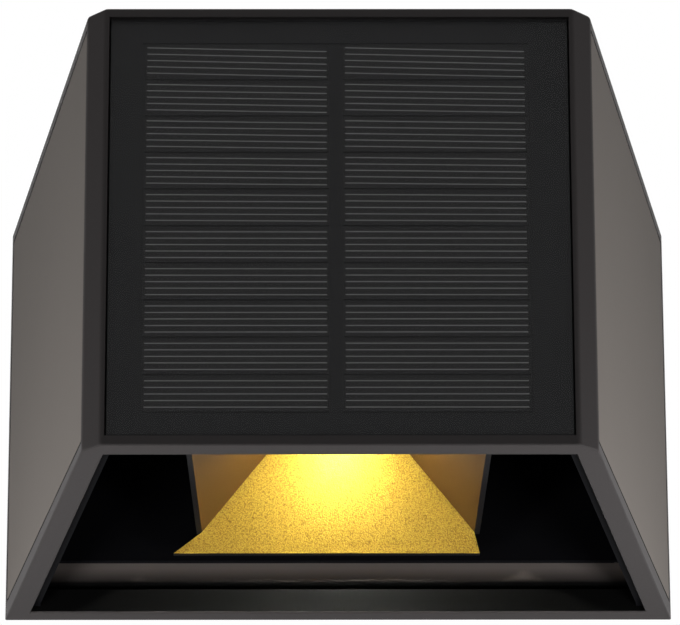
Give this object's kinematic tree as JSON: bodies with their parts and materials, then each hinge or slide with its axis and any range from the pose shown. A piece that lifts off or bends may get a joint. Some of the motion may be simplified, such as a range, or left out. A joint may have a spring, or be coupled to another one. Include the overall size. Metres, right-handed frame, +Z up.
{
  "type": "fence light",
  "caption": "Solar fence light: wedge-shaped hood with a square solar module on its front and a gilt reflector that throws light down out of the open underside.",
  "frame": {"origin": "centre of the back face, in the plane of the wall", "axes": "+X to the right seen from the front, +Y into the wall, +Z up"},
  "size_m": [0.1216, 0.0905, 0.0842],
  "materials": {
    "hood": "fine grained satin black",
    "side_panels": "satin dark bronze grey",
    "tape": "black foam tape",
    "backing_board": "black board",
    "cells": "black silicon with fine metal lines",
    "edge_seal": "black sealant",
    "front_sheet": "clear",
    "black_rubber": "matt",
    "liner": "matt black",
    "gilt": "gilt, finely pebbled",
    "led_board": "white coated",
    "led_package": "white",
    "phosphor": "yellow, glowing",
    "button": "soft black",
    "plunger": "pale",
    "component_black": "moulded",
    "ferrite": "ferrite",
    "capacitor": "can",
    "circuit_board": "green solder mask",
    "holder": "black",
    "battery": "sleeved can",
    "contacts": "nickel plated",
    "cover": "satin black",
    "dark_screws": "blackened",
    "bright_screws": "zinc plated",
    "leads": "insulated"
  },
  "bodies": {
    "lamp": {"housing_shell": "hood", "left_side_panel": "side_panels", "right_side_panel": "side_panels", "module_tape": "tape", "module_backing_board": "backing_board", "solar_cells": "cells", "module_edge_seal": "edge_seal", "module_front_sheet": "front_sheet", "lead_grommet": "black_rubber", "cover_gasket": "black_rubber", "chamber_liner": "liner", "reflector": "gilt", "led_board": "led_board", "led_package": "led_package", "led_phosphor": "phosphor", "switch_body": "component_black", "driver_chip": "component_black", "charging_inductor": "ferrite", "smoothing_capacitor": "capacitor", "control_board": "circuit_board", "battery_holder": "holder", "battery_cell": "battery", "battery_plus_contact": "contacts", "battery_minus_contact": "contacts", "battery_spring": "contacts", "back_cover": "cover", "liner_screws": "dark_screws", "cover_screws": "dark_screws", "reflector_screws": "bright_screws", "board_screws": "bright_screws", "holder_screws": "bright_screws", "solar_leads": "leads", "battery_leads": "leads", "led_leads": "leads"},
    "button": {"mode_button": "button", "switch_plunger": "plunger"}
  },
  "joints": [
    {"name": "button_press", "type": "slide", "parent": "lamp", "child": "button", "axis": [0, 0, 1], "range_m": [0, 0.0012], "stiffness_N_per_m": 800, "springref_m": -0.0004}
  ]
}
